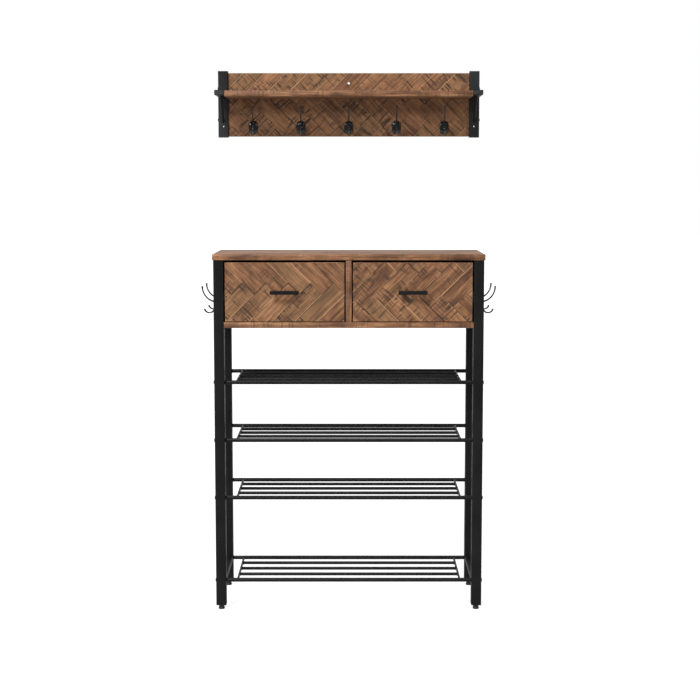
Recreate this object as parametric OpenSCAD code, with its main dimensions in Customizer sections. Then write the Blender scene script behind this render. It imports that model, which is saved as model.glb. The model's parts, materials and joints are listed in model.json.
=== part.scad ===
// Hall tree in two units.  The floor unit is a case with two drawers on four
// square legs, with four rod racks below it and coat hooks on its sides.  The
// wall unit is a panel between two uprights, with a shelf and coat hooks.
// Millimetres.  +X is to the right, +Y towards the wall, +Z up.  The floor is
// z = 0, and y = 0 is halfway between the handles' fronts and the wall.

/* [Floor unit] */
// Width of the top board
unit_w = 850; // [700:10:1100]
// Depth of the top board, from its front edge to the wall
unit_d = 300; // [250:5:400]
// Height of the top surface above the floor
unit_h = 1133; // [943:1:1400]
// Thickness of the top board, bottom board, divider and drawer fronts
board_t = 18; // [15:1:22]
// How far the top board reaches past the legs at each side
side_overhang = 3; // [0:1:20]
// How far the legs and drawer fronts stand behind the top board's front edge
front_setback = 2; // [0:1:10]
// Outside width of the square leg tube
leg_size = 32; // [26:0.1:38]
// Wall thickness of every tube
tube_wall = 1.5; // [1:0.5:2]
// Height of the drawer case, from under the bottom board to under the top board
case_h = 212; // [170:1:260]
// Thickness of the case's side panels
side_t = 16; // [14:1:16]
// How far the side panels stand inside the legs' outer faces
side_recess = 0; // [0:0.5:4]
// Thickness of the case's back panel
back_t = 6; // [3:1:8]
// Height of the floor glides under the legs
glide_h = 15; // [6:1:20]
// Diameter of the floor glides
glide_d = 20; // [16:1:25]

/* [Drawers] */
// Gap between a drawer front and the leg or divider beside it
front_side_gap = 4; // [2:0.5:6]
// Gap between a drawer front and the top board
front_top_gap = 7; // [2:0.5:8]
// Gap between a drawer front and the bottom board
front_bottom_gap = 2; // [1:0.5:4]
// Thickness of the drawer box's sides and back
box_t = 12; // [9:1:15]
// Thickness of the drawer's bottom
box_bottom_t = 5; // [3:1:6]
// Height of the drawer box
box_h = 130; // [90:5:130]
// Width of the space that a runner fills beside the drawer box
runner_space = 12.7; // [12:0.1:14]
// Length of the handle bar
handle_w = 90; // [70:2:180]
// Height of the handle bar
handle_h = 12; // [8:1:16]
// How far the handle stands out from the drawer front
handle_reach = 28; // [22:1:40]
// Distance between the handle's posts
handle_posts = 64; // [40:2:64]

/* [Racks] */
// Height of the lowest rack's rods above the floor
rack_rise = 94; // [60:1:110]
// Distance from the top rack's rods up to the drawer case
rack_drop = 173; // [100:1:200]
// Height between the upper three racks
rack_pitch = 184.5; // [120:0.5:220]
// Diameter of each rack's front and back rods
outer_rod_d = 12.7; // [10:0.1:16]
// Diameter of each rack's inner rods
inner_rod_d = 10; // [6:0.5:10]
// Number of inner rods in each rack
inner_rods = 3; // [2:1:5]
// Diameter of the bars that join a rack's rods
cross_bar_d = 7; // [5:0.5:10]
// Distance from the legs' inner faces to a rack's cross bars
cross_bar_inset = 36; // [20:1:80]
// Width of the rail that joins a front leg to a back leg
rail_w = 20; // [12:1:25]
// Height of that rail
rail_h = 12; // [10:1:20]

/* [Wall unit] */
// Width over the uprights
wall_w = 852; // [700:2:1040]
// Length of the uprights
wall_h = 214; // [178:1:300]
// Height of the uprights' lower ends above the floor
wall_z = 1502; // [1420:2:1700]
// Outside width of the square upright tube
upright_size = 32; // [26:0.1:36]
// Thickness of the panel
panel_t = 16; // [14:1:18]
// How far the panel stops below the uprights' upper ends
panel_top_inset = 6; // [0:1:12]
// How far the panel stops above the uprights' lower ends
panel_bottom_inset = 3; // [0:1:12]
// Height of the shelf's top above the uprights' lower ends
shelf_z = 143; // [130:1:160]
// Thickness of the shelf
shelf_t = 18; // [15:1:20]
// How far the arms stand out from the uprights
arm_reach = 133; // [100:1:160]
// Height of the arms
arm_h = 16; // [12:1:20]
// Diameter of the braces under the arms
brace_d = 8; // [6:0.5:10]
// How far out from the uprights a brace meets its arm
brace_reach = 76; // [50:1:78]

/* [Coat hooks] */
// Distance from an upright to the middle of the wall hook beside it
hook_end_gap = 82; // [30:1:120]
// Height of the wall hooks' centres above the uprights' lower ends
hook_z = 32; // [30:1:45]
// Height of the side hooks' centres above the bottom of the drawer case
side_hook_rise = 58; // [45:1:75]
// Distance between the two hooks on each side of the case
side_hook_gap = 134; // [90:2:140]
// Width of a hook's base plate
plate_w = 29; // [24:1:34]
// Height of a hook's base plate
plate_h = 44; // [40:1:52]
// Thickness of a hook's prongs
prong_d = 4.6; // [4:0.2:6]
// Diameter of the balls at the prongs' tips
tip_d = 6.4; // [6:0.2:9]

/* [Hidden] */
$fn = 64;

// Clearance that keeps fasteners from overlapping the pieces they hold
fit_gap = 0.05;
// Extra length that lets a cutting tool pass right through
cut = 1;

// Where the floor unit's faces are
whole_d = unit_d - front_setback + handle_reach;
wall_y = whole_d / 2;
top_front_y = wall_y - unit_d;
leg_front_y = top_front_y + front_setback;
leg_x = unit_w / 2 - side_overhang - leg_size / 2;
leg_inner_x = leg_x - leg_size / 2;
leg_outer_x = leg_x + leg_size / 2;
front_leg_y = leg_front_y + leg_size / 2;
back_leg_y = wall_y - leg_size / 2;
leg_top_z = unit_h - board_t;
leg_ys = [front_leg_y, back_leg_y];
span_between_legs = back_leg_y - front_leg_y - leg_size;
unit_mid_y = (leg_front_y + wall_y) / 2;

// The drawer case
case_z = leg_top_z - case_h;
floor_z = case_z + board_t;
back_recess = 4;
back_panel_y = wall_y - back_recess - back_t;
side_outer_x = leg_outer_x - side_recess;
side_inner_x = side_outer_x - side_t;
dowel_d = 8;
dowel_depth = 12;
dowel_inset = 40;

// The drawers, measured from the middle of the left or right bay
bay_w = leg_inner_x - board_t / 2;
bay_x = board_t / 2 + bay_w / 2;
front_w = bay_w - 2 * front_side_gap;
front_z = floor_z + front_bottom_gap;
front_h = leg_top_z - front_top_gap - front_z;
box_w = bay_w - 2 * runner_space;
box_rise = 10;
box_z = front_z + box_rise;
box_y = leg_front_y + board_t;
back_clearance = 20;
box_l = back_panel_y - back_clearance - box_y;
bottom_groove = 5;
bottom_rise = 8;
handle_z = front_z + front_h / 2;
handle_bar_t = 8;
post_d = 8;
handle_screw_d = 4;
handle_screw_depth = 10;
screw_head_h = 2.5;

// The runners: a channel on the case and a narrower one inside it on the drawer
runner_z = box_z + box_h / 2;
runner_h = 35;
runner_sheet = 1.5;
runner_lip = 10;
inner_runner_h = 28;
inner_runner_lip = 7;
spacer_h = 40;
spacer_t = side_inner_x - leg_inner_x;

// The racks
rod_ys = [for (i = [1:inner_rods])
    front_leg_y + i * (back_leg_y - front_leg_y) / (inner_rods + 1)];
rack_top_z = case_z - rack_drop;
rack_zs = [rack_rise, rack_top_z - 2 * rack_pitch, rack_top_z - rack_pitch, rack_top_z];
cross_bar_x = leg_inner_x - cross_bar_inset;
rack_bolt_d = 6;
rack_bolt_depth = 15;
rack_bolt_head_d = 12;
rack_bolt_head_h = 3;

// The wall unit
upright_x = wall_w / 2 - upright_size / 2;
upright_inner_x = upright_x - upright_size / 2;
upright_y = wall_y - upright_size / 2;
upright_front_y = wall_y - upright_size;
panel_front_y = upright_y - panel_t / 2;
panel_z = wall_z + panel_bottom_inset;
panel_h = wall_h - panel_top_inset - panel_bottom_inset;
shelf_top_z = wall_z + shelf_z;
arm_lip = 2;
arm_z = shelf_top_z + arm_lip - arm_h;
arm_front_y = upright_front_y - arm_reach;
brace_foot_z = arm_z - brace_reach;
wall_hole_d = 6;
wall_hole_rise = 36;
wall_hole_z = wall_z + wall_hole_rise;
panel_hole_d = 8;
panel_hole_z = (shelf_top_z + panel_z + panel_h) / 2;
panel_screw_rise = 15;
panel_screw_drop = 86;
panel_screw_zs = [shelf_top_z - panel_screw_drop, shelf_top_z + panel_screw_rise];
panel_screw_d = 5;
panel_screw_depth = 25;
panel_screw_head_d = 10;
shelf_screw_d = 4.5;
shelf_screw_depth = 25;
shelf_screw_inset = 30;
shelf_screw_ys = [arm_front_y + shelf_screw_inset, upright_front_y - shelf_screw_inset];
access_hole_d = 11;
hidden_screw_head_d = 8;
plug_depth = 10;

// The coat hooks.  Their shape is given as a distance out from the face they
// are fixed to and a height above the middle of the base plate.
wall_hooks = 5;
hook_end_x = upright_inner_x - hook_end_gap;
hook_pitch = 2 * hook_end_x / (wall_hooks - 1);
hook_xs = [for (i = [0:wall_hooks - 1]) i * hook_pitch - hook_end_x];
hook_plane_z = wall_z + hook_z;
side_hook_z = case_z + side_hook_rise;
side_hook_ys = [unit_mid_y - side_hook_gap / 2, unit_mid_y + side_hook_gap / 2];
plate_t = 3;
boss_t = 2.5;
boss_inset = 4;
upper_bend_r = 48;
upper_bend_centre = [-5.6, 65.3];
upper_bend_start = -84;
lower_bend_r = 15.7;
lower_bend_centre = [20.5, -1.5];
lower_bend_start = -180;
lower_bend_end = -21;
rib_foot = [4.5, 3];
rib_top = [4.5, 18];
hook_bolt_d = 4;
hook_bolt_offsets = [-10, 10];
hook_bolt_head_d = 8;
hook_bolt_head_h = 2.6;
hook_bolt_depth = 4;
hook_hole_depth = 4.3;
hook_bolt_sink = 3;
hook_bolt_sink_gap = 0.5;

steel_colour = [0.14, 0.14, 0.15];
gloss_colour = [0.05, 0.05, 0.05];
wood_colour = [0.56, 0.40, 0.27];
board_colour = [0.45, 0.32, 0.22];
zinc_colour = [0.70, 0.70, 0.72];
plastic_colour = [0.08, 0.08, 0.08];

// ---------------------------------------------------------------- shapes

// A box from its low corner to its high corner
module box(low, high) {
    translate(low)
        cube(high - low);
}

// A cylinder from one point along X, Y or Z, given as a unit direction
module rod(from, along, length, d) {
    turn = along[0] != 0 ? [0, 90 * along[0], 0]
        : along[1] != 0 ? [-90 * along[1], 0, 0]
        : along[2] < 0 ? [180, 0, 0] : [0, 0, 0];
    translate(from)
        rotate(turn)
            cylinder(d = d, h = length);
}

// An open-ended rectangular tube along Z
module upright_tube(size_x, size_y, length) {
    difference() {
        translate([-size_x / 2, -size_y / 2, 0])
            cube([size_x, size_y, length]);
        translate([-size_x / 2 + tube_wall, -size_y / 2 + tube_wall, -cut])
            cube([size_x - 2 * tube_wall, size_y - 2 * tube_wall, length + 2 * cut]);
    }
}

// A bolt with a round head: the head ends at `face` and the shank goes on along
module bolt(face, along, head_d, head_h, d, length) {
    rod(face - along * head_h, along, head_h, head_d);
    rod(face - along * head_h / 2, along, length + head_h / 2, d);
}

// ------------------------------------------------------------- floor unit

// One leg with the holes for its rack bolts and its bottom board screw
module leg(side, y) {
    color(steel_colour)
        difference() {
            translate([side * leg_x, y, glide_h])
                upright_tube(leg_size, leg_size, leg_top_z - glide_h);
            for (z = rack_zs)
                rod([side * (leg_inner_x - cut), y, z], [side, 0, 0],
                    leg_size + 2 * cut, rack_bolt_d + 2 * fit_gap);
            rod([side * (leg_inner_x - cut), y, case_z + board_t / 2], [side, 0, 0],
                2 * cut + tube_wall, shelf_screw_d + 2 * fit_gap);
            rod([side * leg_x, y, case_z + board_t / 2], [side, 0, 0],
                leg_size, access_hole_d);
        }
}

module leg_front_left() { leg(-1, front_leg_y); }
module leg_front_right() { leg(1, front_leg_y); }
module leg_back_left() { leg(-1, back_leg_y); }
module leg_back_right() { leg(1, back_leg_y); }

// The flat tube that joins a front leg to a back leg at the lowest rack
module side_rail(side) {
    rail_top_z = rack_zs[0] + outer_rod_d / 2;
    color(steel_colour)
        translate([side * (leg_inner_x + rail_w / 2), front_leg_y + leg_size / 2,
            rail_top_z - rail_h / 2])
            rotate([-90, 0, 0])
                upright_tube(rail_w, rail_h, span_between_legs);
}

module side_rail_left() { side_rail(-1); }
module side_rail_right() { side_rail(1); }

// Glides pressed into the lower ends of the legs
module glides() {
    plug = leg_size - 2 * tube_wall - 2 * fit_gap;
    color(plastic_colour)
        for (side = [-1, 1], y = leg_ys)
            translate([side * leg_x, y, 0]) {
                cylinder(d = glide_d, h = glide_h + cut);
                translate([-plug / 2, -plug / 2, glide_h])
                    cube([plug, plug, plug_depth]);
            }
}

module top_board() {
    color(wood_colour)
        difference() {
            box([-unit_w / 2, top_front_y, leg_top_z], [unit_w / 2, wall_y, unit_h]);
            dowel_holes();
        }
}

// The bottom board, notched around the four legs
module bottom_board() {
    color(wood_colour)
        difference() {
            box([-side_inner_x, leg_front_y, case_z],
                [side_inner_x, wall_y - back_recess, floor_z]);
            for (side = [-1, 1], y = leg_ys)
                translate([side * leg_x, y, case_z + board_t / 2])
                    cube([leg_size, leg_size, 2 * board_t], center = true);
            dowel_holes();
            for (side = [-1, 1], y = leg_ys)
                rod([side * (leg_inner_x + cut), y, case_z + board_t / 2],
                    [-side, 0, 0], shelf_screw_depth + cut, shelf_screw_d + 2 * fit_gap);
        }
}

module side_panel(side) {
    color(wood_colour)
        difference() {
            translate([side * (side_inner_x + side_t / 2), unit_mid_y, case_z])
                translate([-side_t / 2, -span_between_legs / 2, 0])
                    cube([side_t, span_between_legs, case_h]);
            dowel_holes();
            for (y = side_hook_ys, dz = hook_bolt_offsets)
                hook_bolt_hole([side * side_outer_x, y, side_hook_z + dz],
                    [-side, 0, 0], side_t);
        }
}

module side_panel_left() { side_panel(-1); }
module side_panel_right() { side_panel(1); }

module back_panel() {
    color(board_colour)
        box([-leg_inner_x, back_panel_y, floor_z],
            [leg_inner_x, back_panel_y + back_t, leg_top_z]);
}

module divider() {
    color(wood_colour)
        difference() {
            box([-board_t / 2, leg_front_y, floor_z],
                [board_t / 2, back_panel_y, leg_top_z]);
            dowel_holes();
        }
}

// Dowels between the case's boards, `grow` wider than the wood for their holes
module dowels(grow) {
    d = dowel_d + grow;
    for (y = [leg_front_y + dowel_inset, back_panel_y - dowel_inset])
        for (z = [floor_z, leg_top_z])
            rod([0, y, z - dowel_depth], [0, 0, 1], 2 * dowel_depth, d);
    for (side = [-1, 1], dy = [-1, 1]) {
        y = unit_mid_y + dy * (span_between_legs / 2 - dowel_inset);
        rod([side * (side_inner_x + side_t / 2), y, leg_top_z - dowel_depth],
            [0, 0, 1], 2 * dowel_depth, d);
        rod([side * (side_inner_x - dowel_depth), y, case_z + board_t / 2],
            [side, 0, 0], 2 * dowel_depth, d);
    }
}

module dowel_holes() { dowels(2 * fit_gap); }

module case_dowels() {
    color(wood_colour)
        dowels(0);
}

// Screws from inside the legs into the ends of the bottom board
module case_screws() {
    color(zinc_colour)
        for (side = [-1, 1], y = leg_ys)
            bolt([side * (leg_inner_x + tube_wall), y, case_z + board_t / 2],
                [-side, 0, 0], hidden_screw_head_d, screw_head_h, shelf_screw_d,
                shelf_screw_depth);
}

// ---------------------------------------------------------------- drawers

// Battens that bring the outer runners level with the legs' inner faces
module runner_spacers() {
    color(board_colour)
        for (side = [-1, 1])
            translate([side * (leg_inner_x + spacer_t / 2), unit_mid_y, runner_z])
                cube([spacer_t, span_between_legs, spacer_h], center = true);
}

// A steel channel along Y: its web is at x = 0 and its lips point along +X
module channel(height, lip, length) {
    difference() {
        translate([0, 0, -height / 2])
            cube([lip, length, height]);
        translate([runner_sheet, -cut, -height / 2 + runner_sheet])
            cube([lip, length + 2 * cut, height - 2 * runner_sheet]);
    }
}

// The pair of channels fixed in one bay
module case_runners(bay) {
    color(zinc_colour)
        translate([bay * bay_x, box_y, runner_z])
            for (side = [-1, 1])
                translate([side * bay_w / 2, 0, 0])
                    rotate([0, side > 0 ? 180 : 0, 0])
                        channel(runner_h, runner_lip, box_l);
}

module case_runners_left() { case_runners(-1); }
module case_runners_right() { case_runners(1); }

// The pair of narrower channels screwed to one drawer
module drawer_runners(bay) {
    color(zinc_colour)
        translate([bay * bay_x, box_y, runner_z])
            for (side = [-1, 1])
                translate([side * box_w / 2, 0, 0])
                    rotate([0, side < 0 ? 180 : 0, 0])
                        channel(inner_runner_h, inner_runner_lip, box_l);
}

module drawer_front(bay) {
    color(wood_colour)
        difference() {
            box([bay * bay_x - front_w / 2, leg_front_y, front_z],
                [bay * bay_x + front_w / 2, leg_front_y + board_t, front_z + front_h]);
            for (side = [-1, 1])
                rod([bay * bay_x + side * handle_posts / 2, leg_front_y - cut, handle_z],
                    [0, 1, 0], board_t + 2 * cut, handle_screw_d + 2 * fit_gap);
            drawer_bottom_space(bay);
        }
}

// The space that the drawer's bottom takes up in the front and the sides
module drawer_bottom_space(bay) {
    bottom_w = box_w - 2 * box_t + 2 * bottom_groove;
    box([bay * bay_x - bottom_w / 2, box_y - bottom_groove, box_z + bottom_rise],
        [bay * bay_x + bottom_w / 2, box_y + box_l, box_z + bottom_rise + box_bottom_t]);
}

module drawer_sides(bay) {
    color(board_colour)
        difference() {
            for (side = [-1, 1])
                translate([bay * bay_x + side * (box_w - box_t) / 2, 0, 0])
                    box([-box_t / 2, box_y, box_z],
                        [box_t / 2, box_y + box_l, box_z + box_h]);
            drawer_bottom_space(bay);
        }
}

module drawer_back(bay) {
    inner_w = box_w - 2 * box_t;
    color(board_colour)
        box([bay * bay_x - inner_w / 2, box_y + box_l - box_t,
                box_z + bottom_rise + box_bottom_t],
            [bay * bay_x + inner_w / 2, box_y + box_l, box_z + box_h]);
}

module drawer_bottom(bay) {
    color(board_colour)
        drawer_bottom_space(bay);
}

// A straight bar on two posts, with a threaded hole up each post
module drawer_handle(bay) {
    bar_back_y = leg_front_y - handle_reach + handle_bar_t;
    color(steel_colour)
        difference() {
            union() {
                translate([bay * bay_x, bar_back_y - handle_bar_t / 2, handle_z])
                    cube([handle_w, handle_bar_t, handle_h], center = true);
                for (side = [-1, 1])
                    rod([bay * bay_x + side * handle_posts / 2, leg_front_y, handle_z],
                        [0, -1, 0], handle_reach - handle_bar_t / 2, post_d);
            }
            for (side = [-1, 1])
                rod([bay * bay_x + side * handle_posts / 2, leg_front_y + cut, handle_z],
                    [0, -1, 0], handle_screw_depth + 2 * cut,
                    handle_screw_d + 2 * fit_gap);
        }
}

// The screws that hold the handle, with their heads inside the drawer
module drawer_screws(bay) {
    color(zinc_colour)
        for (side = [-1, 1])
            bolt([bay * bay_x + side * handle_posts / 2, box_y, handle_z], [0, -1, 0],
                2 * handle_screw_d, screw_head_h, handle_screw_d,
                board_t + handle_screw_depth);
}

module drawer_left_front() { drawer_front(-1); }
module drawer_left_sides() { drawer_sides(-1); }
module drawer_left_back() { drawer_back(-1); }
module drawer_left_bottom() { drawer_bottom(-1); }
module drawer_left_runners() { drawer_runners(-1); }
module drawer_left_handle() { drawer_handle(-1); }
module drawer_left_screws() { drawer_screws(-1); }
module drawer_right_front() { drawer_front(1); }
module drawer_right_sides() { drawer_sides(1); }
module drawer_right_back() { drawer_back(1); }
module drawer_right_bottom() { drawer_bottom(1); }
module drawer_right_runners() { drawer_runners(1); }
module drawer_right_handle() { drawer_handle(1); }
module drawer_right_screws() { drawer_screws(1); }

// ------------------------------------------------------------------ racks

// Thick front and back rods, two cross bars and thinner rods between those
module rack(z) {
    color(steel_colour)
        difference() {
            union() {
                for (y = leg_ys)
                    rod([-leg_inner_x, y, z], [1, 0, 0], 2 * leg_inner_x, outer_rod_d);
                for (side = [-1, 1])
                    rod([side * cross_bar_x, front_leg_y, z], [0, 1, 0],
                        back_leg_y - front_leg_y, cross_bar_d);
                for (y = rod_ys)
                    rod([-cross_bar_x, y, z], [1, 0, 0], 2 * cross_bar_x, inner_rod_d);
            }
            for (side = [-1, 1], y = leg_ys)
                rod([side * (leg_inner_x + cut), y, z], [-side, 0, 0],
                    rack_bolt_depth + 2 * cut, rack_bolt_d + 2 * fit_gap);
        }
}

module rack_bottom() { rack(rack_zs[0]); }
module rack_second() { rack(rack_zs[1]); }
module rack_third() { rack(rack_zs[2]); }
module rack_top() { rack(rack_zs[3]); }

// Bolts through the legs into the ends of the racks' front and back rods
module rack_bolts() {
    color(steel_colour)
        for (side = [-1, 1], y = leg_ys, z = rack_zs)
            bolt([side * leg_outer_x, y, z], [-side, 0, 0], rack_bolt_head_d,
                rack_bolt_head_h, rack_bolt_d, leg_size + rack_bolt_depth);
}

// -------------------------------------------------------------- wall unit

// One upright, with a wall screw hole right through it near its lower end
module upright(side) {
    color(steel_colour)
        difference() {
            translate([side * upright_x, upright_y, wall_z])
                upright_tube(upright_size, upright_size, wall_h);
            rod([side * upright_x, upright_front_y - cut, wall_hole_z], [0, 1, 0],
                upright_size + 2 * cut, wall_hole_d);
            for (z = panel_screw_zs)
                rod([side * (upright_inner_x - cut), upright_y, z], [side, 0, 0],
                    upright_size + 2 * cut, panel_screw_d + 2 * fit_gap);
        }
}

module upright_left() { upright(-1); }
module upright_right() { upright(1); }

// Plugs that close the ends of the uprights and the front ends of the arms
module tube_plugs() {
    plug = upright_size - 2 * tube_wall - 2 * fit_gap;
    arm_plug_h = arm_h - 2 * tube_wall - 2 * fit_gap;
    color(plastic_colour)
        for (side = [-1, 1]) {
            for (z = [wall_z, wall_z + wall_h - plug_depth])
                translate([side * upright_x - plug / 2, upright_y - plug / 2, z])
                    cube([plug, plug, plug_depth]);
            translate([side * upright_x, arm_front_y + plug_depth / 2, arm_z + arm_h / 2])
                cube([plug, plug_depth, arm_plug_h], center = true);
        }
}

module wall_panel() {
    color(wood_colour)
        difference() {
            box([-upright_inner_x, panel_front_y, panel_z],
                [upright_inner_x, panel_front_y + panel_t, panel_z + panel_h]);
            rod([0, panel_front_y - cut, panel_hole_z], [0, 1, 0],
                panel_t + 2 * cut, panel_hole_d);
            for (x = hook_xs, dz = hook_bolt_offsets)
                hook_bolt_hole([x, panel_front_y, hook_plane_z + dz], [0, 1, 0], panel_t);
            for (side = [-1, 1], z = panel_screw_zs)
                rod([side * (upright_inner_x + cut), upright_y, z], [-side, 0, 0],
                    panel_screw_depth + 2 * cut, panel_screw_d + 2 * fit_gap);
        }
}

module wall_shelf() {
    color(wood_colour)
        difference() {
            box([-upright_inner_x, arm_front_y, shelf_top_z - shelf_t],
                [upright_inner_x, panel_front_y, shelf_top_z]);
            for (side = [-1, 1], y = shelf_screw_ys)
                rod([side * (upright_inner_x + cut), y, arm_z + arm_h / 2],
                    [-side, 0, 0], shelf_screw_depth + 2 * cut,
                    shelf_screw_d + 2 * fit_gap);
        }
}

// One arm: a flat tube from the front of an upright, beside the shelf's end
module arm(side) {
    color(steel_colour)
        difference() {
            translate([side * upright_x, arm_front_y, arm_z + arm_h / 2])
                rotate([-90, 0, 0])
                    upright_tube(upright_size, arm_h, arm_reach);
            for (y = shelf_screw_ys) {
                rod([side * (upright_inner_x - cut), y, arm_z + arm_h / 2],
                    [side, 0, 0], 2 * cut + tube_wall, shelf_screw_d + 2 * fit_gap);
                rod([side * upright_x, y, arm_z + arm_h / 2], [side, 0, 0],
                    upright_size, access_hole_d);
            }
        }
}

module arm_left() { arm(-1); }
module arm_right() { arm(1); }

// One brace: a round bar at 45 degrees, cut to the upright and the arm
module brace(side) {
    color(steel_colour)
        intersection() {
            translate([side * upright_x, upright_front_y, brace_foot_z])
                rotate([45, 0, 0])
                    translate([0, 0, -brace_d])
                        cylinder(d = brace_d, h = brace_reach * sqrt(2) + 2 * brace_d);
            box([side * upright_x - brace_d, arm_front_y, wall_z],
                [side * upright_x + brace_d, upright_front_y, arm_z]);
        }
}

module brace_left() { brace(-1); }
module brace_right() { brace(1); }

// Screws through the uprights into the ends of the panel
module panel_screws() {
    color(steel_colour)
        for (side = [-1, 1], z = panel_screw_zs)
            bolt([side * (upright_x + upright_size / 2), upright_y, z], [-side, 0, 0],
                panel_screw_head_d, screw_head_h, panel_screw_d,
                upright_size + panel_screw_depth);
}

// Screws from inside the arms into the ends of the shelf
module shelf_screws() {
    color(zinc_colour)
        for (side = [-1, 1], y = shelf_screw_ys)
            bolt([side * (upright_inner_x + tube_wall), y, arm_z + arm_h / 2],
                [-side, 0, 0], hidden_screw_head_d, screw_head_h, shelf_screw_d,
                shelf_screw_depth);
}

// ------------------------------------------------------------- coat hooks

// A plate with round ends, standing on the plane y = 0
module round_plate(w, h, from_y, to_y) {
    straight = h - w;
    rotate([90, 0, 0])
        translate([0, 0, -to_y])
            linear_extrude(to_y - from_y) {
                for (dz = [-straight / 2, straight / 2])
                    translate([0, dz])
                        circle(d = w);
                square([w, straight], center = true);
            }
}

// A bent round bar in the plane x = 0, between two angles of a circle
module bend(centre, r, start, end, d) {
    translate([0, -centre[0], centre[1]])
        rotate([90, 0, -90])
            rotate([0, 0, start])
                rotate_extrude(angle = end - start)
                    translate([r, 0])
                        circle(d = d);
}

// A ball at a distance out and a height up in the plane x = 0
module ball(at, d) {
    translate([0, -at[0], at[1]])
        sphere(d = d);
}

// A hook that points along -Y, with the middle of its base plate at the origin
module coat_hook() {
    upper_tip = upper_bend_centre + [upper_bend_r, 0];
    lower_tip = lower_bend_centre
        + lower_bend_r * [cos(lower_bend_end), sin(lower_bend_end)];
    color(gloss_colour)
        difference() {
            union() {
                round_plate(plate_w, plate_h, -plate_t, 0);
                round_plate(plate_w - 2 * boss_inset, plate_h - 2 * boss_inset,
                    -plate_t - boss_t, -plate_t);
                bend(upper_bend_centre, upper_bend_r, upper_bend_start, 0, prong_d);
                bend(lower_bend_centre, lower_bend_r, lower_bend_start,
                    lower_bend_end, prong_d);
                ball(upper_tip, tip_d);
                ball(lower_tip, tip_d);
                ball(rib_foot, tip_d);
                ball(rib_top, tip_d);
                rod([0, -rib_foot[0], rib_foot[1]], [0, 0, 1],
                    rib_top[1] - rib_foot[1], tip_d);
            }
            translate([-plate_w, 0, -plate_h])
                cube([2 * plate_w, plate_t * 2, 2 * plate_h]);
            for (dz = hook_bolt_offsets)
                rod([0, cut, dz], [0, -1, 0], hook_hole_depth + cut,
                    hook_bolt_d + 2 * fit_gap);
        }
}

module side_hook(side, y) {
    translate([side * side_outer_x, y, side_hook_z])
        rotate([0, 0, side * 90])
            coat_hook();
}

module wall_hook(number) {
    translate([hook_xs[number - 1], panel_front_y, hook_plane_z])
        coat_hook();
}

module side_hook_left_front() { side_hook(-1, side_hook_ys[0]); }
module side_hook_left_back() { side_hook(-1, side_hook_ys[1]); }
module side_hook_right_front() { side_hook(1, side_hook_ys[0]); }
module side_hook_right_back() { side_hook(1, side_hook_ys[1]); }
module wall_hook_1() { wall_hook(1); }
module wall_hook_2() { wall_hook(2); }
module wall_hook_3() { wall_hook(3); }
module wall_hook_4() { wall_hook(4); }
module wall_hook_5() { wall_hook(5); }

// The hole for a hook's bolt, through a board and sunk for the head behind it
module hook_bolt_hole(face, along, thickness) {
    rod(face - along * cut, along, thickness + 2 * cut, hook_bolt_d + 2 * fit_gap);
    rod(face + along * (thickness - hook_bolt_sink), along, hook_bolt_sink + cut,
        hook_bolt_head_d + hook_bolt_sink_gap);
}

// A bolt from behind a board into a hook on the board's face
module hook_bolt(face, along, thickness) {
    bolt(face + along * (thickness - hook_bolt_sink), -along, hook_bolt_head_d,
        hook_bolt_head_h, hook_bolt_d, thickness - hook_bolt_sink + hook_bolt_depth);
}

module hook_bolts() {
    color(zinc_colour)
        for (dz = hook_bolt_offsets) {
            for (x = hook_xs)
                hook_bolt([x, panel_front_y, hook_plane_z + dz], [0, 1, 0], panel_t);
            for (side = [-1, 1], y = side_hook_ys)
                hook_bolt([side * side_outer_x, y, side_hook_z + dz], [-side, 0, 0],
                    side_t);
        }
}

// -------------------------------------------------------------- the whole

leg_front_left();
leg_front_right();
leg_back_left();
leg_back_right();
side_rail_left();
side_rail_right();
glides();
top_board();
bottom_board();
side_panel_left();
side_panel_right();
back_panel();
divider();
case_dowels();
case_screws();
runner_spacers();
case_runners_left();
case_runners_right();
rack_bottom();
rack_second();
rack_third();
rack_top();
rack_bolts();
side_hook_left_front();
side_hook_left_back();
side_hook_right_front();
side_hook_right_back();
drawer_left_front();
drawer_left_sides();
drawer_left_back();
drawer_left_bottom();
drawer_left_runners();
drawer_left_handle();
drawer_left_screws();
drawer_right_front();
drawer_right_sides();
drawer_right_back();
drawer_right_bottom();
drawer_right_runners();
drawer_right_handle();
drawer_right_screws();
upright_left();
upright_right();
tube_plugs();
wall_panel();
wall_shelf();
arm_left();
arm_right();
brace_left();
brace_right();
wall_hook_1();
wall_hook_2();
wall_hook_3();
wall_hook_4();
wall_hook_5();
hook_bolts();
panel_screws();
shelf_screws();
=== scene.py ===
import json
import math
import random

import bmesh
import bpy
from mathutils import Matrix, Vector


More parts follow.
